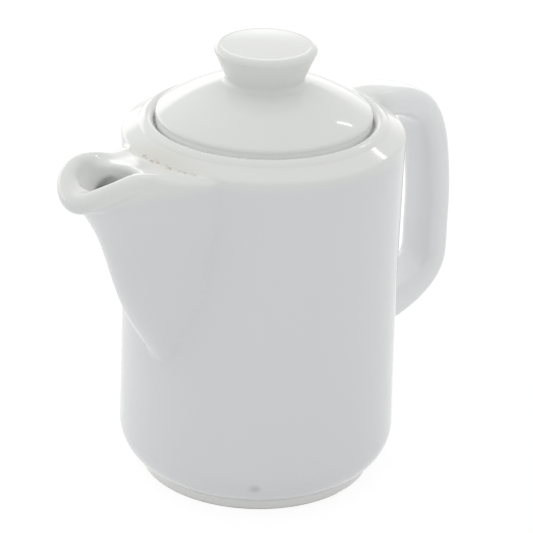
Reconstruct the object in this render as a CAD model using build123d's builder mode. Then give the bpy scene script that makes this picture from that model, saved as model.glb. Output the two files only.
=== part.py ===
from math import asin, cos, hypot, radians, sin
import os

from build123d import *

# Porcelain coffee pot: a cylindrical vessel with a sloped shoulder, a V-shaped pouring beak on -X,
# a strap handle on +X and a lift-off domed lid. Millimetres, +Z up, the foot rests on z = 0.

# Vessel, radii about the Z axis
BODY_R = 47.5  # at the shoulder crease
WAIST_R = 47.0  # slightly slimmer middle of the wall
WAIST_Z = 78.0
BELLY_R = 47.7  # widest, just above the base
WALL = 4.0
BASE_THICKNESS = 5.0
BASE_BLEND_R = 14.0  # convex turn from the foot up into the wall
BASE_BLEND_TOP = 16.0
INNER_BASE_ROUND = 7.5
FOOT_OUTER_R = 40.0
FOOT_WIDTH = 4.6
FOOT_HEIGHT = 4.0
FOOT_RECESS = 2.6  # the underside stands this far above the table
SHOULDER_Z = 123.0
SHOULDER_ROUND = 1.8
RIM_Z = 128.0
RIM_R = 39.6  # radius of the rim's highest line
SEAT_Z = 123.9  # ledge that carries the lid
THROAT_R = 34.2  # opening inside the ledge
LEDGE_T = 3.8

# Lid
LID_EDGE_R = 36.2
LID_GAP = 0.75  # between the lid edge and the rim, all round
LID_EDGE_T = 5.9
LID_EDGE_ROUND = 1.5
LID_T = 4.2
CROWN_Z = 140.2  # the dome would reach this height without the boss
BOSS_FOOT = (14.5, 139.95)  # the dome turns up here into the boss: radius, height
BOSS_R = 13.35  # flat top of the boss, which carries the knob
BOSS_Z = 142.3
LID_DOME_MID = (24.9, 136.25)  # the dome's curve passes here: radius, height
LID_CEILING_MID = (21.0, 133.4)
COLLAR_GAP = 0.9  # between the collar and the throat
COLLAR_DEPTH = 8.5
COLLAR_T = 3.6

# Knob
KNOB_TOP_R = 17.2
KNOB_HEIGHT = 11.0
KNOB_ROUND = 2.4

# Beak; s is the distance from the Z axis towards -X
BEAK_WALL = 4.0
BEAK_ROOT_S = 30.0  # hidden inside the vessel before trimming
# height, nose front s, nose radius, flank angle in degrees
BEAK_SECTIONS = (
    (42.0, 40.4, 7.0, 36.0),
    (50.0, 45.5, 8.0, 36.0),
    (60.0, 51.9, 9.4, 34.8),
    (74.0, 59.9, 10.0, 32.0),
    (90.0, 66.2, 9.8, 28.5),
    (104.0, 71.8, 9.7, 26.3),
    (112.0, 76.6, 11.2, 23.5),
    (118.0, 80.8, 12.8, 19.5),
    (124.0, 82.8, 13.4, 17.0),
    (132.0, 83.2, 13.6, 16.5),
)
# side view of the beak's top edge: s, z
BEAK_TOP = (
    (41.0, 121.8), (50.0, 123.2), (58.0, 124.8), (65.0, 126.7), (71.0, 127.2), (77.0, 125.4),
    (82.0, 122.0), (88.0, 117.0),
)
# rolled lip round the mouth, centre line of the far half: s, y, z
LIP_R = 3.5
LIP_PATH = (
    (34.0, 19.0, 117.5), (46.0, 17.2, 119.9), (56.0, 13.8, 122.4), (63.0, 12.2, 124.6),
    (70.0, 11.9, 125.8), (77.0, 9.6, 124.2), (81.2, 5.2, 121.3), (82.7, 0, 120.0),
)
# leaf-shaped mouth narrowing to a round throat: height, then s and half width round one side
MOUTH_SLICES = (
    (131.0, ((56.6, 0), (60.2, 3.8), (65.0, 7.8), (70.4, 10.2), (77.0, 8.5), (81.4, 0))),
    (124.0, ((59.4, 0), (62.2, 3.7), (66.2, 6.9), (70.8, 8.2), (75.6, 6.6), (78.8, 0))),
    (116.2, ((60.4, 0), (61.9, 3.5), (65.4, 5.0), (68.0, 4.3), (69.8, 2.5), (70.5, 0))),
)
HOLLOW_LOW_Z = 45.0  # the slices below this are solid
HOLLOW_TOP_Z = 117.2
WINDOW_WIDTH = 15.0  # opening through the vessel wall into the beak
WINDOW_LOW_Z = 77.0
WINDOW_HIGH_Z = 110.0

# Handle strap
STRAP_WIDTH = 17.2
STRAP_T = 11.2
STRAP_SWELL = 1.3  # how far each broad face bulges
STRAP_ROUND = 4.6
# centre line: x, z
STRAP_PATH = (
    (36.0, 119.6), (54.0, 119.9), (66.0, 117.5), (75.4, 112.3), (80.8, 104.0), (83.8, 92.0),
    (85.4, 76.0), (85.4, 61.0), (84.0, 50.2), (76.7, 43.7), (58.0, 38.4), (36.0, 31.8),
)

os.makedirs("parts", exist_ok=True)

CREASE_R = BELLY_R - BASE_BLEND_R + (BASE_BLEND_R**2 - (BASE_BLEND_TOP - FOOT_HEIGHT) ** 2) ** 0.5
GALLERY_R = LID_EDGE_R + LID_GAP
COLLAR_R = THROAT_R - COLLAR_GAP
FLOOR_Z = FOOT_RECESS + BASE_THICKNESS
LOFT_TOP_Z = BEAK_SECTIONS[-1][0]


def round_corners(sketch, radius, *points):
    """Rounds the sketch corners that lie at the given local points."""
    for x, y in points:
        fillet([v for v in sketch.vertices() if hypot(v.X - x, v.Y - y) < 0.05], radius)


def outer_profile():
    """Draws the vessel's outline from the foot crease up to the top of the rim."""
    half = asin((BASE_BLEND_TOP - FOOT_HEIGHT) / BASE_BLEND_R) / 2
    turned = ThreePointArc(
        (CREASE_R, FOOT_HEIGHT),
        (BELLY_R - BASE_BLEND_R * (1 - cos(half)), BASE_BLEND_TOP - BASE_BLEND_R * sin(half)),
        (BELLY_R, BASE_BLEND_TOP),
    )
    wall = ThreePointArc(turned @ 1, (WAIST_R, WAIST_Z), (BODY_R, SHOULDER_Z))
    slope = Line(wall @ 1, (RIM_R + 2.4, RIM_Z - 1.75))
    bead = ThreePointArc(slope @ 1, (RIM_R + 1.15, RIM_Z - 0.6), (RIM_R, RIM_Z))
    return bead @ 1


def vessel_solid():
    """The vessel filled in, which the beak and the handle are trimmed against."""
    with BuildPart() as filled:
        with BuildSketch(Plane.XZ) as half:
            with BuildLine():
                top = outer_profile()
                Polyline(top, (0, RIM_Z), (0, 1), (FOOT_OUTER_R, 1), (CREASE_R, FOOT_HEIGHT))
            make_face()
            round_corners(half, SHOULDER_ROUND, (BODY_R, SHOULDER_Z))
        revolve(axis=Axis.Z)
    return filled.part


def beak_slice(height, nose_s, nose_r, flank):
    """One horizontal slice: straight flanks at the given angle, tangent to a round nose."""
    centre = nose_s - nose_r
    angle = radians(flank)
    tangent_s, tangent_y = centre + nose_r * sin(angle), nose_r * cos(angle)
    root_y = tangent_y + (tangent_s - BEAK_ROOT_S) * sin(angle) / cos(angle)
    with BuildSketch(Plane.XY.offset(height)) as slice_sketch:
        with BuildLine():
            Line((-BEAK_ROOT_S, root_y), (-tangent_s, tangent_y))
            ThreePointArc((-tangent_s, tangent_y), (-nose_s, 0), (-tangent_s, -tangent_y))
            Line((-tangent_s, -tangent_y), (-BEAK_ROOT_S, -root_y))
            Line((-BEAK_ROOT_S, -root_y), (-BEAK_ROOT_S, root_y))
        make_face()
    return slice_sketch.sketch


def beak_solid(inset, low, high):
    """Lofts the beak's slices between two heights, every one moved inwards by inset."""
    slices = [
        beak_slice(height, nose_s - inset, nose_r - inset, flank).face()
        for height, nose_s, nose_r, flank in BEAK_SECTIONS
        if low <= height <= high
    ]
    return loft(slices)


def mouth_solid():
    """The funnel of the mouth: a leaf at the top closing to a round throat."""
    with BuildPart() as funnel:
        for height, side in MOUTH_SLICES:
            with BuildSketch(Plane.XY.offset(height)):
                with BuildLine():
                    one = Spline(*[(-s, y) for s, y in side], tangents=((0, 1), (0, -1)))
                    back = [(-s, -y) for s, y in side[::-1]]
                    Spline(one @ 1, *back[1:-1], one @ 0, tangents=((0, -1), (0, 1)))
                make_face()
        loft()
    return funnel.part


vessel = vessel_solid()

with BuildPart() as pot_body:
    with BuildSketch(Plane.XZ) as half_profile:
        with BuildLine():
            rim_top = outer_profile()
            bead_in = ThreePointArc(rim_top, (RIM_R - 1.75, RIM_Z - 0.5), (GALLERY_R, RIM_Z - 1.9))
            gallery = Polyline(
                bead_in @ 1, (GALLERY_R, SEAT_Z), (THROAT_R, SEAT_Z), (THROAT_R, SEAT_Z - LEDGE_T)
            )
            under = ThreePointArc(gallery @ 1, (38.9, 116.9), (WAIST_R - WALL + 0.2, 108.0))
            inside = ThreePointArc(
                under @ 1, (WAIST_R - WALL, WAIST_Z), (BELLY_R - WALL, BASE_BLEND_TOP)
            )
            Polyline(
                inside @ 1, (BELLY_R - WALL, FLOOR_Z), (0, FLOOR_Z), (0, FOOT_RECESS),
                (FOOT_OUTER_R - FOOT_WIDTH, FOOT_RECESS), (FOOT_OUTER_R - FOOT_WIDTH, 0),
                (FOOT_OUTER_R, 0), (CREASE_R, FOOT_HEIGHT),
            )
        make_face()
        round_corners(half_profile, SHOULDER_ROUND, (BODY_R, SHOULDER_Z))
        round_corners(half_profile, INNER_BASE_ROUND, (BELLY_R - WALL, FLOOR_Z))
        round_corners(half_profile, 0.9, (FOOT_OUTER_R, 0), (FOOT_OUTER_R - FOOT_WIDTH, 0))
        round_corners(half_profile, 1.4, (FOOT_OUTER_R - FOOT_WIDTH, FOOT_RECESS))
        round_corners(half_profile, 0.8, (THROAT_R, SEAT_Z))
    revolve(axis=Axis.Z)
    with BuildSketch(Plane.YZ) as window:
        with Locations((0, (WINDOW_LOW_Z + WINDOW_HIGH_Z) / 2)):
            RectangleRounded(WINDOW_WIDTH, WINDOW_HIGH_Z - WINDOW_LOW_Z, WINDOW_WIDTH / 2 - 0.01)
    extrude(amount=-BODY_R - 5, mode=Mode.SUBTRACT)

with BuildPart() as beak_top:
    add(beak_solid(0, 0, LOFT_TOP_Z))
    with BuildSketch(Plane.XZ):
        with BuildLine():
            top = Spline(*[(-s, z) for s, z in BEAK_TOP])
            Polyline(top @ 1, (-2 * BODY_R, LOFT_TOP_Z + 9), (-10, LOFT_TOP_Z + 9), (-10, RIM_Z), top @ 0)
        make_face()
    extrude(amount=BODY_R, both=True, mode=Mode.SUBTRACT)
    with BuildLine() as lip_line:
        far = [(-s, y, z) for s, y, z in LIP_PATH]
        Spline(*far, *[(x, -y, z) for x, y, z in far[-2::-1]])
    with BuildSketch(Plane(lip_line.line @ 0, z_dir=lip_line.line % 0)):
        Circle(LIP_R)
    sweep(path=lip_line.line)

with BuildPart() as hollow:
    add(beak_solid(BEAK_WALL, HOLLOW_LOW_Z, LOFT_TOP_Z))
    with BuildSketch(Plane.XY.offset(HOLLOW_TOP_Z)):
        Rectangle(5 * BODY_R, 2 * BODY_R)
    extrude(amount=BODY_R, mode=Mode.SUBTRACT)

with BuildPart() as spout:
    add(beak_top.part)
    add(mouth_solid(), mode=Mode.SUBTRACT)
    add(hollow.part, mode=Mode.SUBTRACT)
    add(vessel, mode=Mode.SUBTRACT)

with BuildPart() as handle:
    with BuildLine(Plane.XZ) as strap_path:
        Spline(*STRAP_PATH)
    strap_start = Plane(strap_path.line @ 0, x_dir=(0, 1, 0), z_dir=strap_path.line % 0)
    with BuildSketch(strap_start) as section:
        with BuildLine():
            half_w, corner_t = STRAP_WIDTH / 2, STRAP_T / 2 - STRAP_SWELL
            inner = ThreePointArc((-half_w, -corner_t), (0, -STRAP_T / 2), (half_w, -corner_t))
            outer = ThreePointArc((half_w, corner_t), (0, STRAP_T / 2), (-half_w, corner_t))
            Line(inner @ 1, outer @ 0)
            Line(outer @ 1, inner @ 0)
        make_face()
        fillet(section.vertices(), STRAP_ROUND)
    sweep()
    add(vessel, mode=Mode.SUBTRACT)

with BuildPart() as lid:
    with BuildSketch(Plane.XZ) as half_lid:
        with BuildLine():
            edge_top = (LID_EDGE_R, SEAT_Z + LID_EDGE_T)
            dome = ThreePointArc(edge_top, LID_DOME_MID, BOSS_FOOT)
            boss = TangentArc(dome @ 1, (BOSS_R, BOSS_Z), tangent=dome % 1)
            ceiling = ThreePointArc((0, CROWN_Z - LID_T), LID_CEILING_MID, (COLLAR_R - COLLAR_T, SEAT_Z + 0.6))
            Polyline(boss @ 1, (0, BOSS_Z), ceiling @ 0)
            Polyline(
                ceiling @ 1, (COLLAR_R - COLLAR_T, SEAT_Z - COLLAR_DEPTH), (COLLAR_R, SEAT_Z - COLLAR_DEPTH),
                (COLLAR_R, SEAT_Z), (LID_EDGE_R, SEAT_Z), edge_top,
            )
        make_face()
        round_corners(half_lid, LID_EDGE_ROUND, edge_top)
        round_corners(half_lid, 1.0, (LID_EDGE_R, SEAT_Z))
        round_corners(
            half_lid, 1.5, (COLLAR_R - COLLAR_T, SEAT_Z - COLLAR_DEPTH), (COLLAR_R, SEAT_Z - COLLAR_DEPTH)
        )
    revolve(axis=Axis.Z)

with BuildPart() as lid_knob:
    with BuildSketch(Plane.XZ):
        with BuildLine():
            knob_top_z = BOSS_Z + KNOB_HEIGHT
            flank = Polyline(
                (0, BOSS_Z), (BOSS_R, BOSS_Z), (KNOB_TOP_R - 0.1, knob_top_z - KNOB_ROUND)
            )
            rounding = ThreePointArc(
                flank @ 1, (KNOB_TOP_R - 0.45, knob_top_z - 0.95), (KNOB_TOP_R - 2.4, knob_top_z - 0.3)
            )
            crown = TangentArc((0, knob_top_z), rounding @ 1, tangent=(1, 0))
            Line(crown @ 0, flank @ 0)
        make_face()
    revolve(axis=Axis.Z)

pieces = {
    "pot_body": pot_body, "spout": spout, "handle": handle, "lid": lid, "lid_knob": lid_knob,
}
for name, piece in pieces.items():
    piece.part.label = name
    export_step(piece.part, f"parts/{name}.step")
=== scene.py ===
import logging
import math
from dataclasses import dataclass, field
from enum import Enum

import bmesh
import bpy
from mathutils import Euler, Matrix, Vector
from mathutils.kdtree import KDTree


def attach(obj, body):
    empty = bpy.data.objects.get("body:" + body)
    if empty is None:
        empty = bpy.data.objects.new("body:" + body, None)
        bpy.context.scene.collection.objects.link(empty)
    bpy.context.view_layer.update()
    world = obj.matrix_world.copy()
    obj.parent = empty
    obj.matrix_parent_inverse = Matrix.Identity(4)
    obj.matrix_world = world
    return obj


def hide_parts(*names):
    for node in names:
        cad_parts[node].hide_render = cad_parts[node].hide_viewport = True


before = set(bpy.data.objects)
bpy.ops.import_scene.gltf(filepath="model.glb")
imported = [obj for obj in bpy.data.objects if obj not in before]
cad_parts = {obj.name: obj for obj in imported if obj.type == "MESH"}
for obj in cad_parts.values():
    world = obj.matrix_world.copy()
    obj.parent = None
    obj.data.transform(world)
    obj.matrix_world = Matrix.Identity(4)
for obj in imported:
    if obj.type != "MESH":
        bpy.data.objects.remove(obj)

LOG = logging.getLogger("coffee_pot")
MM = 0.001
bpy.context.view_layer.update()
FAR = 500.0  # millimetres, past every side of the pot
SAME_PLACE = 0.000001  # metres, within which two corners are one

Point = tuple[float, float]
Point3 = tuple[float, float, float]
Colour = tuple[float, float, float]
Socket = bpy.types.NodeSocket
BMesh = bmesh.types.BMesh


class Body(Enum):
    """The two bodies of the pot that move against each other."""

    POT = "pot"
    LID = "lid"


class Side(Enum):
    """The side of the vessel that a luted piece stands on, as an angle in degrees from +X."""

    BEAK = 180.0
    HANDLE = 0.0


# --------------------------------------------------------------------------------------- finishes


@dataclass(frozen=True)
class Mark:
    """A soft round spot in the glaze's colour, for a real mark or for painted light or shade.

    Attributes:
        centre: Where it lies, in millimetres.
        reach: How far it spreads along X, Y and Z, in millimetres.
        depth: How strongly it shows, from 0 to 1.
    """

    centre: Point3
    reach: Point3
    depth: float = 1.0


@dataclass(frozen=True)
class GlazedPorcelain:
    """White porcelain under a clear gloss glaze, with linear colours and lengths in millimetres.

    A span is the length at which a colour starts and the one at which it is full.

    Attributes:
        body_colour: The wall, where the glaze is even.
        top_tint_and_painted_light: The shoulder and the lid: a slight greenish tint, with painted
            light that makes these upward-facing tops lighter than the wall.
        strap_painted_light_colour: The handle, painted lighter to stand in for the light that
            falls on it.
        foot_tint_and_painted_light: The foot, with its warm grey tint and painted light that
            stands in for light bounced from the floor.
        cloud_colour: The faint clouds all over.
        stain_colour: The tea-brown cloud on the shoulder.
        painted_shade_colour: Painted shade on the far side of the beak's tail.
        painted_light_colour: Painted light in the gap round the lid, inside the mouth and along
            the beak's far edge.
        throat_painted_shade_colour: Painted shade, near black, inside the beak.
        iron_colour: The specks.
        pinhole_colour: The pinhole.
        clay_colour: The bare clay on the land of the foot.
        shoulder_span: Heights for the top's colour.
        strap_span: Distances from the axis for the handle's colour.
        foot_span: Heights for the foot's colour.
        land_span: Heights for the bare clay.
        seat_r: Radius of the gap round the lid.
        seat_span: Distances from that radius for the painted light in the gap.
        seat_low_span: Heights for its lower end.
        seat_high_span: Heights for its upper end.
        stain: The stain on the shoulder behind the beak.
        tail_painted_shade: Painted shade where the far side of the beak meets the shoulder.
        mouth: Painted light inside the mouth.
        crest: Painted light along the far edge of the beak.
        throat: Painted shade in the passage below the mouth.
        specks: Brown iron specks on the shoulder behind the beak.
        pinhole: The pinhole low on the wall.
        cloud_depth: How strongly the clouds show.
        roughness: Roughness of the glaze where it is smoothest.
        roughness_swing: How much rougher it gets.
        clay_roughness: How much rougher the bare clay is.
        ripple_depth: Height of the ripples in the glaze.
    """

    body_colour: Colour = (0.738, 0.744, 0.756)
    # slight tint plus painted light on the upward-facing tops
    top_tint_and_painted_light: Colour = (0.785, 0.795, 0.775)
    # painted light on the handle
    strap_painted_light_colour: Colour = (0.832, 0.839, 0.848)
    # warm tint plus painted light on the foot
    foot_tint_and_painted_light: Colour = (0.875, 0.873, 0.86)
    cloud_colour: Colour = (0.70, 0.70, 0.66)
    stain_colour: Colour = (0.68, 0.665, 0.60)
    # painted shade on the beak's tail
    painted_shade_colour: Colour = (0.50, 0.50, 0.485)
    # painted light in the lid gap, the mouth and the beak's far edge
    painted_light_colour: Colour = (0.93, 0.935, 0.92)
    # painted shade inside the beak
    throat_painted_shade_colour: Colour = (0.13, 0.13, 0.125)
    iron_colour: Colour = (0.36, 0.24, 0.13)
    pinhole_colour: Colour = (0.30, 0.30, 0.30)
    clay_colour: Colour = (0.60, 0.56, 0.50)
    shoulder_span: Point = (118.5, 124.0)
    strap_span: Point = (49.0, 57.0)
    foot_span: Point = (4.2, 3.4)
    land_span: Point = (0.75, 0.45)
    seat_r: float = 36.6
    seat_span: Point = (1.2, 0.5)
    seat_low_span: Point = (120.0, 123.0)
    seat_high_span: Point = (129.0, 127.6)
    stain: Mark = Mark((-44.5, 2.0, 123.8), (9.0, 25.0, 4.5), 0.5)
    # painted shade where the beak's far side meets the shoulder
    tail_painted_shade: Mark = Mark((-55.0, 4.5, 123.5), (7.0, 8.5, 5.0), 0.6)
    # painted light inside the mouth
    mouth: Mark = Mark((-70.0, 0.0, 123.5), (14.5, 11.5, 8.5))
    # painted light along the beak's far edge
    crest: Mark = Mark((-58.5, 14.0, 124.5), (8.5, 7.5, 5.0), 0.9)
    # painted shade in the passage below the mouth
    throat: Mark = Mark((-65.9, 0.0, 116.0), (6.8, 10.6, 8.8))
    specks: tuple[Mark, ...] = (
        Mark((-46.5, 8.3, 123.2), (1.5, 1.3, 1.3)),
        Mark((-47.0, 6.6, 123.1), (0.9, 1.0, 0.9), 0.8),
        Mark((-47.2, 3.6, 123.0), (0.9, 1.5, 0.9), 0.95),
        Mark((-46.9, 1.2, 123.1), (0.8, 1.2, 0.8)),
        Mark((-46.2, 2.4, 123.5), (0.7, 1.6, 0.7), 0.35),
        Mark((-47.2, -4.4, 123.0), (0.9, 1.9, 0.9), 0.85),
        Mark((-46.5, -2.6, 123.3), (0.7, 1.2, 0.7), 0.4),
        Mark((-46.4, -8.4, 123.2), (0.8, 1.3, 0.8), 0.5),
        Mark((-46.1, -10.7, 123.3), (0.8, 1.5, 0.8), 0.6),
        Mark((-45.3, -14.0, 123.3), (0.9, 2.6, 0.9), 0.3),
    )
    pinhole: Mark = Mark((-33.25, -33.31, 11.92), (3.0, 3.0, 2.7), 0.34)
    cloud_depth: float = 0.035
    roughness: float = 0.07
    roughness_swing: float = 0.03
    clay_roughness: float = 0.6
    ripple_depth: float = 0.05

    def build(self) -> bpy.types.Material:
        """Makes the glaze.

        Returns:
            The material.
        """
        graph = Graph(bpy.data.materials.new("glazed_porcelain"))
        where = graph.node("ShaderNodeTexCoord").outputs["Object"]
        height = graph.node("ShaderNodeSeparateXYZ", Vector=where).outputs["Z"]
        bare = graph.span(height, self.land_span)
        colour: object = self.body_colour
        for share, tint in (*self.layers(graph, where), (bare, self.clay_colour)):
            colour = graph.mix(share, colour, tint)
        gloss = graph.ramp(
            graph.noise(where, scale=120.0, detail=3.0), 0.3, 0.7,
            self.roughness, self.roughness + self.roughness_swing,
        )
        clay = graph.maths("MULTIPLY", bare, self.clay_roughness)
        ripple = graph.bump(
            graph.noise(where, scale=55.0, detail=2.0), strength=0.25, depth=self.ripple_depth * MM
        )
        graph.glaze(colour, graph.maths("ADD", gloss, clay), ripple)
        return graph.owner

    def layers(self, graph: "Graph", where: Socket) -> list[tuple[Socket, Colour]]:
        """Lists the colours that lie over that of the body.

        Args:
            graph: The material's nodes.
            where: The place on the piece.

        Returns:
            The share and the colour of each, from the lowest to the topmost.
        """
        axes = graph.node("ShaderNodeSeparateXYZ", Vector=where).outputs
        clouds = graph.noise(where, scale=38.0, detail=2.0)
        grain = graph.ramp(graph.noise(where, scale=1900.0, detail=2.0), 0.40, 0.60)
        iron = graph.maths("MULTIPLY", graph.near(where, self.specks), grain)
        return [
            # painted light: the tops are lighter, together with their slight tint
            (graph.span(axes["Z"], self.shoulder_span), self.top_tint_and_painted_light),
            # painted light on the handle
            (graph.span(axes["X"], self.strap_span), self.strap_painted_light_colour),
            # painted light on the foot, with its warm tint
            (graph.span(axes["Z"], self.foot_span), self.foot_tint_and_painted_light),
            (graph.ramp(clouds, 0.35, 0.65, high=self.cloud_depth), self.cloud_colour),
            (graph.near(where, (self.stain,)), self.stain_colour),
            # painted shade where the beak's far side meets the shoulder
            (graph.near(where, (self.tail_painted_shade,)), self.painted_shade_colour),
            # painted light in the gap round the lid
            (self.seat(graph, where), self.painted_light_colour),
            # painted light inside the mouth and along the beak's far edge
            (graph.near(where, (self.mouth, self.crest)), self.painted_light_colour),
            # painted shade inside the beak's throat
            (graph.near(where, (self.throat,)), self.throat_painted_shade_colour),
            (iron, self.iron_colour),
            (graph.near(where, (self.pinhole,)), self.pinhole_colour),
        ]

    def seat(self, graph: "Graph", where: Socket) -> Socket:
        """Finds the gap round the lid, where painted light lightens its shade.

        Args:
            graph: The material's nodes.
            where: The place on the piece.

        Returns:
            A share of 1 in the gap and 0 away from it.
        """
        height = graph.node("ShaderNodeSeparateXYZ", Vector=where).outputs["Z"]
        level = graph.vector("MULTIPLY", where, (1.0, 1.0, 0.0))
        beyond = graph.maths("SUBTRACT", graph.vector("LENGTH", level), self.seat_r * MM)
        share = graph.span(graph.maths("ABSOLUTE", beyond, 0.0), self.seat_span)
        for ends in (self.seat_low_span, self.seat_high_span):
            share = graph.maths("MULTIPLY", share, graph.span(height, ends))
        return share


class Graph:
    """The nodes of one material or world, with short calls for those that are used here."""

    def __init__(self, owner: bpy.types.Material | bpy.types.World) -> None:
        """Empties the nodes of a material or a world and gives it an output.

        Args:
            owner: The material or the world.
        """
        owner.use_nodes = True
        self.owner = owner
        self.tree = owner.node_tree
        self.tree.nodes.clear()
        kind = "World" if isinstance(owner, bpy.types.World) else "Material"
        self.out = self.tree.nodes.new(f"ShaderNodeOutput{kind}")

    def node(self, kind: str, **inputs: object) -> bpy.types.Node:
        """Adds a node.

        Args:
            kind: The node's type.
            **inputs: Values or sockets for its inputs, by input name.

        Returns:
            The node.
        """
        made = self.tree.nodes.new(kind)
        for name, value in inputs.items():
            self.feed(made.inputs[name.replace("_", " ")], value)
        return made

    def feed(self, socket: Socket, value: object) -> None:
        """Links a socket to an input, or sets the input's value.

        Args:
            socket: The input.
            value: A socket to link, or a number, a colour or a vector.
        """
        if isinstance(value, bpy.types.NodeSocket):
            self.tree.links.new(value, socket)
        elif isinstance(value, tuple) and socket.type == "RGBA":
            socket.default_value = (*value, 1.0)
        else:
            socket.default_value = value

    def maths(self, operation: str, first: object, second: object) -> Socket:
        """Joins two values by one operation.

        Args:
            operation: The operation, as Blender names it.
            first: The first value.
            second: The second value.

        Returns:
            The result.
        """
        made = self.tree.nodes.new("ShaderNodeMath")
        made.operation = operation
        self.feed(made.inputs[0], first)
        self.feed(made.inputs[1], second)
        return made.outputs[0]

    def ramp(
        self, value: object, start: float, end: float, low: float = 0.0, high: float = 1.0
    ) -> Socket:
        """Maps a value smoothly.

        Args:
            value: The value to map.
            start: Value at which the result is low.
            end: Value at which the result is high.
            low: Result at the start.
            high: Result at the end.

        Returns:
            The mapped value, held between low and high.
        """
        made = self.tree.nodes.new("ShaderNodeMapRange")
        made.interpolation_type = "SMOOTHSTEP"
        for name, given in {
            "Value": value, "From Min": start, "From Max": end, "To Min": low, "To Max": high,
        }.items():
            self.feed(made.inputs[name], given)
        return made.outputs["Result"]

    def span(self, value: object, ends: Point) -> Socket:
        """Rises from 0 at the first of two lengths in millimetres to 1 at the second."""
        return self.ramp(value, ends[0] * MM, ends[1] * MM)

    def near(self, where: Socket, marks: tuple[Mark, ...]) -> Socket:
        """Finds the soft round spots of some marks.

        Args:
            where: The place on the piece.
            marks: The marks.

        Returns:
            A share of 0 away from every mark and of a mark's depth in its middle.
        """
        total: object = 0.0
        for mark in marks:
            offset = self.vector("SUBTRACT", where, tuple(c * MM for c in mark.centre))
            scaled = self.vector("MULTIPLY", offset, tuple(1 / (r * MM) for r in mark.reach))
            here = self.ramp(self.vector("LENGTH", scaled), 1.0, 0.1, high=mark.depth)
            total = self.maths("MAXIMUM", total, here)
        return total

    def mix(self, share: object, first: object, second: object) -> Socket:
        """Mixes two colours.

        Args:
            share: Share of the second colour.
            first: The first colour.
            second: The second colour.

        Returns:
            The mixed colour.
        """
        made = self.tree.nodes.new("ShaderNodeMix")
        made.data_type = "RGBA"
        self.feed(made.inputs[0], share)
        self.feed(made.inputs[6], first)  # the node's sockets for colours are 6, 7 and 2
        self.feed(made.inputs[7], second)
        return made.outputs[2]

    def noise(self, where: Socket, scale: float, detail: float) -> Socket:
        """Gives a soft random value over the piece, with scale in turns per metre."""
        return self.node("ShaderNodeTexNoise", Vector=where, Scale=scale, Detail=detail).outputs[0]

    def vector(self, operation: str, first: object, second: object = (0.0, 0.0, 0.0)) -> Socket:
        """Works on one or two vectors.

        Args:
            operation: The operation, as Blender names it.
            first: The first vector.
            second: The second vector, where the operation takes one.

        Returns:
            The result, which is a value for a length and a dot product and a vector otherwise.
        """
        made = self.tree.nodes.new("ShaderNodeVectorMath")
        made.operation = operation
        self.feed(made.inputs[0], first)
        self.feed(made.inputs[1], second)
        return made.outputs["Value" if operation in ("LENGTH", "DOT_PRODUCT") else "Vector"]

    def bump(self, height: Socket, strength: float, depth: float) -> Socket:
        """Turns a height into a bent normal, with depth in metres."""
        made = self.node("ShaderNodeBump", Height=height, Strength=strength, Distance=depth)
        return made.outputs[0]

    def glaze(self, colour: object, rough: object, normal: object) -> None:
        """Ends the material in clear glaze over white clay.

        Args:
            colour: Its colour.
            rough: Its roughness.
            normal: Its bent normal.
        """
        shader = self.node(
            "ShaderNodeBsdfPrincipled", Base_Color=colour, Roughness=rough, Normal=normal, IOR=1.5
        )
        self.end(shader.outputs[0])

    def blend(self, share: object, first: Socket, second: Socket) -> Socket:
        """Mixes two shaders.

        Args:
            share: Share of the second shader.
            first: The first shader.
            second: The second shader.

        Returns:
            The mixed shader.
        """
        made = self.tree.nodes.new("ShaderNodeMixShader")
        for socket, value in zip(made.inputs, (share, first, second)):
            self.feed(socket, value)
        return made.outputs[0]

    def light(self, kind: str, colour: object, strength: object) -> Socket:
        """Makes a shader that gives off light, for a world or a surface."""
        return self.node(kind, Color=colour, Strength=strength).outputs[0]

    def rays(self, *names: str) -> Socket:
        """Tells some kinds of ray from the others.

        Args:
            *names: The kinds, as the Light Path node names them.

        Returns:
            1 for a ray of any of these kinds and 0 for the others.
        """
        path = self.tree.nodes.new("ShaderNodeLightPath")
        total = path.outputs[names[0]]
        for name in names[1:]:
            total = self.maths("MAXIMUM", total, path.outputs[name])
        return total

    def end(self, surface: Socket) -> None:
        """Links the last shader to the output."""
        self.tree.links.new(surface, self.out.inputs["Surface"])


# ------------------------------------------------------------------------------------ mesh making


def arc(centre: Point, radius: float, start: float, end: float, steps: int) -> list[Point]:
    """Gives points along an arc.

    Args:
        centre: The arc's centre.
        radius: Its radius.
        start: Angle of the first point, in degrees.
        end: Angle of the last point, in degrees.
        steps: How many spans it has.

    Returns:
        The points, both ends included.
    """
    angles = [math.radians(start + (end - start) * i / steps) for i in range(steps + 1)]
    return [(centre[0] + radius * math.cos(a), centre[1] + radius * math.sin(a)) for a in angles]


def spun(profile: list[Point], middle: float, half_sweep: float, steps: int) -> BMesh:
    """Turns a closed outline about the Z axis and closes both ends.

    Args:
        profile: Radius and height of each corner, in millimetres.
        middle: Angle of the middle of the sweep, in degrees.
        half_sweep: How far it reaches each way, in degrees.
        steps: How many spans it has round the axis.

    Returns:
        A closed mesh in metres.
    """
    bm = bmesh.new()
    verts = [bm.verts.new((r * MM, 0, z * MM)) for r, z in profile]
    edges = [bm.edges.new((a, b)) for a, b in zip(verts, verts[1:] + verts[:1])]
    start = Euler((0, 0, math.radians(middle - half_sweep))).to_matrix()
    bmesh.ops.rotate(bm, verts=verts, cent=(0, 0, 0), matrix=start)
    bmesh.ops.spin(
        bm, geom=verts + edges, cent=(0, 0, 0), axis=(0, 0, 1),
        angle=math.radians(2 * half_sweep), steps=steps, use_duplicate=False,
    )
    bmesh.ops.holes_fill(bm, edges=[e for e in bm.edges if e.is_boundary], sides=0)
    bmesh.ops.recalc_face_normals(bm, faces=bm.faces)
    return bm


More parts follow.
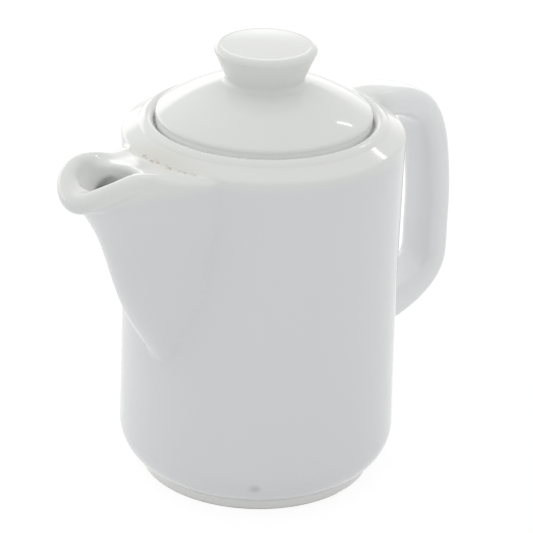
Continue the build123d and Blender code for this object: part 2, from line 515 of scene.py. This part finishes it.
def object_from(bm: BMesh, name: str) -> bpy.types.Object:
    """Turns a bmesh into a linked object and frees it.

    Args:
        bm: The bmesh.
        name: Name of the object and of its mesh.

    Returns:
        The object.
    """
    mesh = bpy.data.meshes.new(name)
    bm.to_mesh(mesh)
    bm.free()
    made = bpy.data.objects.new(name, mesh)
    bpy.context.scene.collection.objects.link(made)
    return made


def copy_of(mesh: bpy.types.Mesh) -> BMesh:
    """Copies a mesh into a bmesh of its own.

    Args:
        mesh: The mesh, which stays as it is.

    Returns:
        The copy.
    """
    bm = bmesh.new()
    bm.from_mesh(mesh)
    return bm


def settle(obj: bpy.types.Object) -> None:
    """Makes what an object's modifiers give its own mesh, and takes the modifiers off.

    Args:
        obj: The object.
    """
    graph = bpy.context.evaluated_depsgraph_get()
    graph.update()
    result = bpy.data.meshes.new_from_object(obj.evaluated_get(graph), depsgraph=graph)
    old = obj.data
    obj.modifiers.clear()
    obj.data = result
    bpy.data.meshes.remove(old)


def cut_away(obj: bpy.types.Object, cutter: bpy.types.Object) -> None:
    """Cuts one solid out of another and removes the cutter.

    Args:
        obj: The solid that is cut.
        cutter: The solid that is cut out of it.
    """
    cut = obj.modifiers.new("cut", "BOOLEAN")
    cut.operation = "DIFFERENCE"
    cut.object = cutter
    settle(obj)
    bpy.data.objects.remove(cutter)


def smoothstep(value: float) -> float:
    """Eases a value from 0 to 1."""
    held = min(1.0, max(0.0, value))
    return held * held * (3 - 2 * held)


@dataclass(frozen=True)
class Corner:
    """How the corners in one region are worked round, in millimetres.

    Attributes:
        reach: How far from a corner the surface is worked.
        rounds: How many passes work it.
        low: Lowest X, Y and Z of the region.
        high: Highest X, Y and Z of the region.
        ridge: Whether outer corners are meant and not inner ones.
    """

    reach: float
    rounds: int
    low: Point3 = (-FAR, -FAR, -FAR)
    high: Point3 = (FAR, FAR, FAR)
    ridge: bool = False

    def holds(self, place: Vector) -> bool:
        """Says whether a corner at a place, in metres, is worked."""
        return all(a <= c / MM <= b for a, c, b in zip(self.low, place, self.high))


@dataclass
class Softening:
    """How a luted piece and the wall behind it become one skin, in millimetres and degrees.

    Attributes:
        corners: How its corners are worked, region by region.
        grain: Size of the faces of the finished skin.
        skin_rounds: Light passes over the whole skin at the end.
        sharp: Angle between two faces that counts as an inner corner.
        blunt: Angle between two faces that counts as an outer corner.
        onset: How steeply the work grows from the edge of a corner's reach.
    """

    corners: tuple[Corner, ...]
    grain: float = 0.5
    skin_rounds: int = 2
    sharp: float = 11.0
    blunt: float = 17.0
    onset: float = 1.25

    def apply(self, obj: bpy.types.Object) -> None:
        """Fuses an object's solids into one skin, rounds its corners and trues the rest.

        Args:
            obj: The object, which holds closed solids that overlap.
        """
        plain = object_from(copy_of(obj.data), "plain")
        fuse = obj.modifiers.new("fuse", "REMESH")
        fuse.mode = "VOXEL"
        fuse.voxel_size = self.grain * MM
        fuse.use_smooth_shade = True
        settle(obj)
        worked = obj.vertex_groups.new(name="worked")
        for number, corner in enumerate(self.corners):
            group = obj.vertex_groups.new(name=f"corner{number}")
            self.weigh(obj, corner, (group, worked))
            self.smooth(obj, corner.rounds, group.name)
        true = obj.modifiers.new("true", "SHRINKWRAP")
        true.target = plain
        true.vertex_group = "worked"
        true.invert_vertex_group = True
        self.smooth(obj, self.skin_rounds, "")
        settle(obj)
        bpy.data.objects.remove(plain)
        obj.vertex_groups.clear()
        obj.data.shade_smooth()

    def smooth(self, obj: bpy.types.Object, rounds: int, group: str) -> None:
        """Adds passes of smoothing.

        Args:
            obj: The skin.
            rounds: How many passes.
            group: Name of the vertex group, or nothing for the whole skin.
        """
        work = obj.modifiers.new("work", "SMOOTH")
        work.factor = 0.5
        work.iterations = rounds
        work.vertex_group = group

    def places(self, obj: bpy.types.Object, ridge: bool) -> list[Vector]:
        """Lists the places of the skin's corners.

        Args:
            obj: The skin.
            ridge: Whether outer corners are meant and not inner ones.

        Returns:
            The places, in metres.
        """
        bm = copy_of(obj.data)
        sign, limit = (1, math.radians(self.blunt)) if ridge else (-1, math.radians(self.sharp))
        bent = (e for e in bm.edges if sign * e.calc_face_angle_signed(0.0) > limit)
        found = {vert for edge in bent for vert in edge.verts}
        places = [vert.co.copy() for vert in sorted(found, key=lambda v: v.index)]
        bm.free()
        return places

    def weigh(
        self, obj: bpy.types.Object, corner: Corner, groups: tuple[bpy.types.VertexGroup, ...]
    ) -> None:
        """Marks the skin near the corners of one region.

        Args:
            obj: The skin.
            corner: The region and how it is worked.
            groups: The vertex groups that take the marks; a vertex keeps its highest.
        """
        held = [place for place in self.places(obj, corner.ridge) if corner.holds(place)]
        if not held:
            return
        tree = KDTree(len(held))
        for index, place in enumerate(held):
            tree.insert(place, index)
        tree.balance()
        for vert in obj.data.vertices:
            away = tree.find(vert.co)[2] / (corner.reach * MM)
            if away >= 1:
                continue
            weight = smoothstep(self.onset * (1 - away))
            for group in groups:
                before = next((g.weight for g in vert.groups if g.group == group.index), 0.0)
                group.add([vert.index], max(weight, before), "REPLACE")


@dataclass
class VesselWall:
    """The outside of the vessel, which every luted piece runs into, in millimetres.

    Attributes:
        belly_r: Radius at the bottom of the wall.
        belly_z: Height of that.
        waist_r: Radius at the slimmer middle.
        waist_z: Height of that.
        shoulder_r: Radius at the shoulder.
        shoulder_z: Height of the shoulder.
        rounding: Radius of the shoulder's edge.
        slope_r: Radius at which the shoulder's slope meets the rim.
        slope_z: Height of that.
        proud: How far a skin stands out from the wall.
        depth: How thick a patch of the wall is.
        slope_depth: How thick a patch is at its end on the slope.
        slope_rings: Radii of the rings of a patch on the slope.
        inside: Radius and height of the inner corners of a patch under the shoulder.
    """

    belly_r: float = 47.7
    belly_z: float = 16.0
    waist_r: float = 47.0
    waist_z: float = 78.0
    shoulder_r: float = 47.5
    shoulder_z: float = 123.0
    rounding: float = 1.8
    slope_r: float = 42.0
    slope_z: float = 126.25
    proud: float = 0.03
    depth: float = 2.1
    slope_depth: float = 2.4
    slope_rings: tuple[float, ...] = (45.5, 44.5, 43.5, 42.5, 41.5)
    inside: tuple[Point, ...] = ((43.4, 121.2), (45.4, 118.6))

    def radius(self, z: float) -> float:
        """Finds the wall's radius on the arc through its three points.

        Args:
            z: The height.

        Returns:
            The radius there.
        """
        cz, cr, r = circle_through(
            (self.belly_z, self.belly_r),
            (self.waist_z, self.waist_r),
            (self.shoulder_z, self.shoulder_r),
        )
        return cr - math.sqrt(r * r - (z - cz) ** 2)

    def slope_at(self, r: float) -> float:
        """Gives the height of the shoulder's slope at a radius."""
        fall = (self.slope_z - self.shoulder_z) / (self.shoulder_r - self.slope_r)
        return self.shoulder_z + (self.shoulder_r - r) * fall

    def band(self, low: float, high: float) -> list[Point]:
        """Outlines a thin band of the plain wall between two heights.

        Args:
            low: Lowest height.
            high: Highest height.

        Returns:
            Radius and height of each corner.
        """
        steps = round(high - low)
        heights = [low + (high - low) * i / steps for i in range(steps + 1)]
        outer = [(self.radius(z), z) for z in heights]
        return outer + [(outer[-1][0] - self.depth, high), (outer[0][0] - self.depth, low)]

    def shoulder_band(self, low: float, inner: float) -> list[Point]:
        """Outlines a thin band of the wall that goes on over the shoulder.

        Args:
            low: Lowest height.
            inner: Radius at which it ends on the slope.

        Returns:
            Radius and height of each corner.
        """
        tilt = math.atan2(self.slope_z - self.shoulder_z, self.shoulder_r - self.slope_r)
        tangent = self.rounding * math.tan((math.pi / 2 - tilt) / 2)
        top = self.shoulder_z - tangent
        steps = round(top - low)
        heights = [low + (top - low) * i / steps for i in range(steps)]
        outer = [(self.radius(z), z) for z in heights]
        centre = (self.radius(top) - self.rounding, top)
        turn = arc(centre, self.rounding, 0, 90 - math.degrees(tilt), 10)
        rings = (turn[-1][0] - 0.5, *self.slope_rings, inner)
        slope = [(r, self.slope_at(r)) for r in rings]
        end = (inner, self.slope_at(inner) - self.slope_depth)
        return [*outer, *turn, *slope, end, *self.inside, (self.inside[-1][0], low)]


def circle_through(a: Point, b: Point, c: Point) -> tuple[float, float, float]:
    """Finds the circle through three points.

    Args:
        a: The first point.
        b: The second point.
        c: The third point.

    Returns:
        Both places of the centre, and the radius.
    """
    d = 2 * (a[0] * (b[1] - c[1]) + b[0] * (c[1] - a[1]) + c[0] * (a[1] - b[1]))
    sa, sb, sc = (p[0] ** 2 + p[1] ** 2 for p in (a, b, c))
    x = (sa * (b[1] - c[1]) + sb * (c[1] - a[1]) + sc * (a[1] - b[1])) / d
    y = (sa * (c[0] - b[0]) + sb * (a[0] - c[0]) + sc * (b[0] - a[0])) / d
    return x, y, math.hypot(a[0] - x, a[1] - y)


@dataclass
class Patch:
    """A thin patch of the vessel's wall that sinks into the wall at its border.

    Attributes:
        outline: Radius and height of each corner of its section, in millimetres.
        flat_angle: How far it stays level with the wall each way, in degrees.
        end_angle: Where it ends each way, in degrees.
        low: Height below which it sinks.
        low_end: Lowest height.
        high: Height above which it sinks; far above the pot if it ends on the shoulder.
        high_end: Highest height then.
        sink: How deep the border lies, in millimetres.
        step: Angle between its rings, in degrees.
    """

    outline: list[Point]
    flat_angle: float
    end_angle: float
    low: float
    low_end: float
    high: float = FAR
    high_end: float = FAR + 1
    sink: float = 0.35
    step: float = 0.6

    def build(self, side: Side, wall: VesselWall) -> BMesh:
        """Makes the patch.

        Args:
            side: The side of the vessel that it lies on.
            wall: The wall that it follows.

        Returns:
            A closed mesh in metres.
        """
        bm = spun(self.outline, side.value, self.end_angle, round(self.end_angle * 2 / self.step))
        middle = math.radians(side.value)
        for vert in bm.verts:
            turned = math.atan2(vert.co.y, vert.co.x) - middle
            turn = abs((turned + math.pi) % (2 * math.pi) - math.pi)
            height = vert.co.z / MM
            out = max(
                (math.degrees(turn) - self.flat_angle) / (self.end_angle - self.flat_angle),
                (self.low - height) / (self.low - self.low_end),
                (height - self.high) / (self.high_end - self.high),
                0.0,
            )
            radius = math.hypot(vert.co.x, vert.co.y)
            moved = 1 + (wall.proud - self.sink * out * out) * MM / radius
            vert.co.x *= moved
            vert.co.y *= moved
        return bm


@dataclass
class LutedPiece:
    """A piece luted on to the vessel, made one skin with the wall round its joint.

    Attributes:
        node: The CAD solid that it dresses.
        name: The name of the finished skin.
        side: The side of the vessel that it stands on.
        softening: How its joints are worked smooth.
        wall: The wall that it runs into.
    """

    node: str
    name: str
    side: Side
    softening: Softening
    wall: VesselWall = field(default_factory=VesselWall)

    def patches(self) -> list[Patch]:
        """Lists the patches of wall that it runs into."""
        return []

    def trim(self, obj: bpy.types.Object) -> None:
        """Cuts away what shouldn't be solid in the patches, before the solids are fused."""

    def hollow(self, obj: bpy.types.Object) -> None:
        """Opens what the solid leaves closed, before it joins the wall."""

    def build(self, glaze: bpy.types.Material) -> None:
        """Makes the skin, puts it on the pot and hides the plain solid.

        Args:
            glaze: Its finish.
        """
        bm = bmesh.new()
        for patch in self.patches():
            part = patch.build(self.side, self.wall)
            mesh = bpy.data.meshes.new("patch")
            part.to_mesh(mesh)
            part.free()
            bm.from_mesh(mesh)
            bpy.data.meshes.remove(mesh)
        skin = object_from(bm, self.name)
        self.trim(skin)
        bm = copy_of(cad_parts[self.node].data)
        bmesh.ops.remove_doubles(bm, verts=bm.verts, dist=SAME_PLACE)
        solid = object_from(bm, "solid")
        self.hollow(solid)
        bm = copy_of(skin.data)
        bm.from_mesh(solid.data)
        bm.to_mesh(skin.data)
        bm.free()
        bpy.data.objects.remove(solid)
        self.softening.apply(skin)
        skin.data.materials.clear()
        skin.data.materials.append(glaze)
        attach(skin, Body.POT.value)
        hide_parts(self.node)
        LOG.info("%s on the %s: %d faces", skin.name, Body.POT.value, len(skin.data.polygons))


@dataclass
class Beak(LutedPiece):
    """The pouring beak with its rolled lip, in millimetres.

    Its corners are worked in this order: inside the mouth, the edge of the mouth, the roll at the
    tip, the joint with the shoulder on either side, the nose under the roll, the tail on the
    shoulder, and the seams down the wall, first the upper and then the lower ones.

    Attributes:
        throat_centre: Middle of the hollow below the mouth.
        throat_reach: How far that reaches from its middle along X, Y and Z.
        window_width: Width of the window through the wall.
        window_low: Height of its lower end.
        window_high: Height of its upper end.
        window_reach: Length of the solid that cuts it.
    """

    node: str = "spout"
    name: str = "beak_skin"
    side: Side = Side.BEAK
    softening: Softening = field(default_factory=lambda: Softening((
        Corner(3.0, 10, (-82.0, -8.5, 112.0), (-52.0, 8.5, 140.0)),
        Corner(2.6, 18, (-80.0, -10.5, 111.0), (-57.0, 10.5, 128.5), ridge=True),
        Corner(3.8, 31, (-81.0, -9.5, 119.0), (-73.0, 9.5, 128.5), ridge=True),
        Corner(5.0, 48, (-FAR, 8.5, 111.0), (-49.5, FAR, 127.0)),
        Corner(5.0, 48, (-FAR, -FAR, 111.0), (-49.5, -8.5, 127.0)),
        Corner(4.0, 31, (-FAR, -9.0, 100.0), (-74.0, 9.0, 121.0)),
        Corner(3.0, 17, (-49.5, -FAR, 117.0), (-30.0, FAR, 140.0)),
        Corner(1.6, 3, (-FAR, -FAR, 56.0), (-30.0, FAR, 117.0)),
        Corner(2.0, 5, (-FAR, -FAR, 0.0), (-30.0, FAR, 56.0)),
    ), grain=0.6, sharp=13.0, blunt=20.0))
    throat_centre: Point3 = (-66.3, 0.0, 116.8)
    throat_reach: Point3 = (5.3, 7.2, 9.3)
    window_width: float = 15.0
    window_low: float = 77.0
    window_high: float = 110.0
    window_reach: float = 60.0

    def patches(self) -> list[Patch]:
        """Lists the patch of wall and shoulder behind the beak."""
        outline = self.wall.shoulder_band(low=24.0, inner=40.6)
        return [Patch(outline, flat_angle=38.0, end_angle=47.0, low=37.0, low_end=24.0)]

    def hollow(self, obj: bpy.types.Object) -> None:
        """Opens the hollow below the mouth, behind the edge of the throat.

        Args:
            obj: The beak's solid.
        """
        bm = bmesh.new()
        made = bmesh.ops.create_uvsphere(bm, u_segments=72, v_segments=48, radius=MM)
        bmesh.ops.scale(bm, verts=made["verts"], vec=self.throat_reach)
        bmesh.ops.translate(bm, verts=made["verts"], vec=[c * MM for c in self.throat_centre])
        cut_away(obj, object_from(bm, "throat_cutter"))

    def trim(self, obj: bpy.types.Object) -> None:
        """Cuts the window that lets the coffee into the beak.

        Args:
            obj: The patch of wall.
        """
        half = self.window_width / 2
        top, bottom = self.window_high - half, self.window_low + half
        bm = bmesh.new()
        made = bmesh.ops.create_circle(bm, cap_ends=True, radius=half * MM, segments=48)
        for vert in made["verts"]:
            vert.co.y += (top if vert.co.y > 0 else bottom) * MM
        upright = Euler((math.pi / 2, 0, math.pi / 2)).to_matrix()
        bmesh.ops.rotate(bm, verts=bm.verts, cent=(0, 0, 0), matrix=upright)
        grown = bmesh.ops.extrude_face_region(bm, geom=bm.faces[:])["geom"]
        moved = [g for g in grown if isinstance(g, bmesh.types.BMVert)]
        bmesh.ops.translate(bm, verts=moved, vec=(-self.window_reach * MM, 0, 0))
        bmesh.ops.recalc_face_normals(bm, faces=bm.faces)
        cut_away(obj, object_from(bm, "window_cutter"))


@dataclass
class StrapHandle(LutedPiece):
    """The strap handle, which runs into the wall at both ends."""

    node: str = "handle"
    name: str = "handle_skin"
    side: Side = Side.HANDLE
    softening: Softening = field(default_factory=lambda: Softening((Corner(4.0, 55),)))

    def patches(self) -> list[Patch]:
        """Lists the patches of wall that the strap runs into.

        Returns:
            The patch at its top and the one at its bottom.
        """
        upper = self.wall.shoulder_band(low=98.0, inner=40.6)
        lower = self.wall.band(low=17.0, high=60.0)
        return [
            Patch(upper, flat_angle=17.0, end_angle=27.0, low=107.0, low_end=98.0),
            Patch(
                lower, flat_angle=17.0, end_angle=27.0,
                low=27.0, low_end=17.0, high=50.0, high_end=60.0,
            ),
        ]


# ------------------------------------------------------------------------------- dressed CAD parts


@dataclass
class TurnedPiece:
    """A turned piece whose CAD solid has the right shape and gets its finish here.

    Attributes:
        node: The CAD solid.
        body: The body that it moves with.
    """

    node: str
    body: Body

    def dress(self, glaze: bpy.types.Material) -> None:
        """Gives the solid its finish.

        Args:
            glaze: The finish.
        """
        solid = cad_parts[self.node]
        solid.data.materials.clear()
        solid.data.materials.append(glaze)
        LOG.info("%s on the %s: %d faces", solid.name, self.body.value, len(solid.data.polygons))


# ------------------------------------------------------------------------------------------ studio


@dataclass(frozen=True)
class Glow:
    """A soft bright part of the tent.

    Attributes:
        azimuth: Direction of its middle round the Z axis, in degrees from +X.
        elevation: Height of its middle above the horizon, in degrees.
        strength: Light that it adds at its middle.
        edge: Angle from the middle at which it has faded out, in degrees.
    """

    azimuth: float
    elevation: float
    strength: float
    edge: float

    def middle(self) -> Point3:
        """Finds the direction of its middle.

        Returns:
            The direction, with a length of 1.
        """
        turn, rise = math.radians(self.azimuth), math.radians(self.elevation)
        level = math.cos(rise)
        return (math.cos(turn) * level, math.sin(turn) * level, math.sin(rise))


@dataclass
class Studio:
    """The floor, the tent, the lamp and the camera, in metres.

    Attributes:
        tent_low: Light from the tent at the horizon.
        tent_high: Light from the tent overhead.
        glows: The tent's soft bright parts, which stand behind the object.
        backdrop: Direction in which the backdrop stands.
        backdrop_edges: Cosines of the angles from it at which the backdrop starts and is full.
        backdrop_tops: Sines of the heights at which it starts and is full.
        backdrop_light: Light that it adds in the glaze.
        paper: Lightness of the floor's paper.
        paper_light: Light of the floor where it is seen or mirrored.
        paper_share: Share of that light; the rest keeps the shadow under the foot.
        floor_size: Width of the floor.
        lamp_place: Where the lamp is, which gives the short glints.
        lamp_target: What it points at.
        lamp_size: Its width and height.
        lamp_power: Its power in watts.
        camera_place: Where the camera is, in front, to the beak's side and above.
        camera_turn: How it is turned, in degrees.
        camera_lens: Its focal length in millimetres.
        camera_sensor: Width of its sensor in millimetres.
    """

    tent_low: Colour = (0.49, 0.495, 0.505)
    tent_high: Colour = (1.01, 1.01, 0.995)
    glows: tuple[Glow, ...] = (
        Glow(azimuth=92.0, elevation=14.0, strength=0.95, edge=46.0),
        Glow(azimuth=0.0, elevation=10.0, strength=0.2, edge=50.0),
    )
    backdrop: Point3 = (0.17, 0.98, 0.0)
    backdrop_edges: Point = (0.35, 0.85)
    backdrop_tops: Point = (0.325, 0.26)
    backdrop_light: float = 1.05
    paper: float = 0.93
    paper_light: float = 1.08
    paper_share: float = 0.8
    floor_size: float = 6.0
    lamp_place: Point3 = (1.10, 0.05, 0.98)
    lamp_target: Point3 = (0.0, 0.0, 0.13)
    lamp_size: Point = (0.009, 0.20)
    lamp_power: float = 0.2
    camera_place: Point3 = (-0.561077, -0.551369, 0.436893)
    camera_turn: Point3 = (65.13696, -1.51211, -44.96413)
    camera_lens: float = 171.373
    camera_sensor: float = 36.0

    def build(self) -> None:
        """Makes everything round the object."""
        self.tent()
        self.floor()
        self.lamp()
        self.camera()

    def tent(self) -> None:
        """Lights the scene from all round, and is white where it is seen or mirrored."""
        bpy.context.scene.world = bpy.data.worlds.new("tent")
        graph = Graph(bpy.context.scene.world)
        where = graph.node("ShaderNodeTexCoord").outputs["Generated"]
        up = graph.node("ShaderNodeSeparateXYZ", Vector=where).outputs["Z"]
        glow: object = 0.0
        for one in self.glows:
            near = graph.vector("DOT_PRODUCT", where, one.middle())
            edge = math.cos(math.radians(one.edge))
            glow = graph.maths("ADD", glow, graph.ramp(near, edge, 1.0, high=one.strength))
        grey = graph.node("ShaderNodeCombineXYZ", X=glow, Y=glow, Z=glow).outputs[0]
        shade = graph.mix(graph.ramp(up, 0.0, 1.0), self.tent_low, self.tent_high)
        falling = graph.light("ShaderNodeBackground", graph.vector("ADD", shade, grey), 1.0)
        facing = graph.vector("DOT_PRODUCT", where, self.backdrop)
        sweep = graph.maths(
            "MULTIPLY",
            graph.ramp(facing, *self.backdrop_edges),
            graph.ramp(up, *self.backdrop_tops, high=self.backdrop_light),
        )
        white = (1.0, 1.0, 1.0)
        strength = graph.maths("ADD", sweep, 1.0)
        mirrored = graph.light("ShaderNodeBackground", white, strength)
        seen = graph.light("ShaderNodeBackground", white, 1.0)
        lit = graph.blend(graph.rays("Is Glossy Ray"), falling, mirrored)
        graph.end(graph.blend(graph.rays("Is Camera Ray", "Is Transmission Ray"), lit, seen))

    def floor(self) -> None:
        """Lays a white floor that keeps a soft shadow under the foot."""
        bm = bmesh.new()
        bmesh.ops.create_grid(bm, x_segments=1, y_segments=1, size=self.floor_size / 2)
        floor = object_from(bm, "floor")
        graph = Graph(bpy.data.materials.new("floor"))
        paper = graph.node("ShaderNodeBsdfDiffuse", Color=(self.paper,) * 3).outputs[0]
        glowing = graph.light("ShaderNodeEmission", (1.0, 1.0, 1.0), self.paper_light)
        shown = graph.blend(self.paper_share, paper, glowing)
        mirrored = graph.rays("Is Camera Ray", "Is Glossy Ray", "Is Transmission Ray")
        graph.end(graph.blend(mirrored, paper, shown))
        floor.data.materials.append(graph.owner)

    def lamp(self) -> None:
        """Hangs the narrow lamp that shows as a short glint on the lid and the shoulder."""
        data = bpy.data.lights.new("window_strip", "AREA")
        data.shape = "RECTANGLE"
        data.size, data.size_y = self.lamp_size
        data.energy = self.lamp_power
        made = bpy.data.objects.new("window_strip", data)
        made.location = self.lamp_place
        aim = Vector(self.lamp_target) - Vector(self.lamp_place)
        made.rotation_euler = aim.to_track_quat("-Z", "Y").to_euler()
        made.visible_camera = False
        bpy.context.scene.collection.objects.link(made)

    def camera(self) -> None:
        """Places the camera and makes it the scene's."""
        data = bpy.data.cameras.new("camera")
        data.lens = self.camera_lens
        data.sensor_width = self.camera_sensor
        made = bpy.data.objects.new("camera", data)
        made.location = self.camera_place
        made.rotation_euler = Euler(tuple(math.radians(a) for a in self.camera_turn))
        bpy.context.scene.collection.objects.link(made)
        bpy.context.scene.camera = made


def main() -> None:
    """Builds the pot's pieces in order, then the studio."""
    logging.basicConfig(level=logging.INFO, format="%(message)s")
    glaze = GlazedPorcelain().build()
    TurnedPiece("pot_body", Body.POT).dress(glaze)
    Beak().build(glaze)
    StrapHandle().build(glaze)
    TurnedPiece("lid", Body.LID).dress(glaze)
    TurnedPiece("lid_knob", Body.LID).dress(glaze)
    Studio().build()
    bpy.context.scene.view_settings.view_transform = "Standard"


if __name__ == "__main__":
    main()
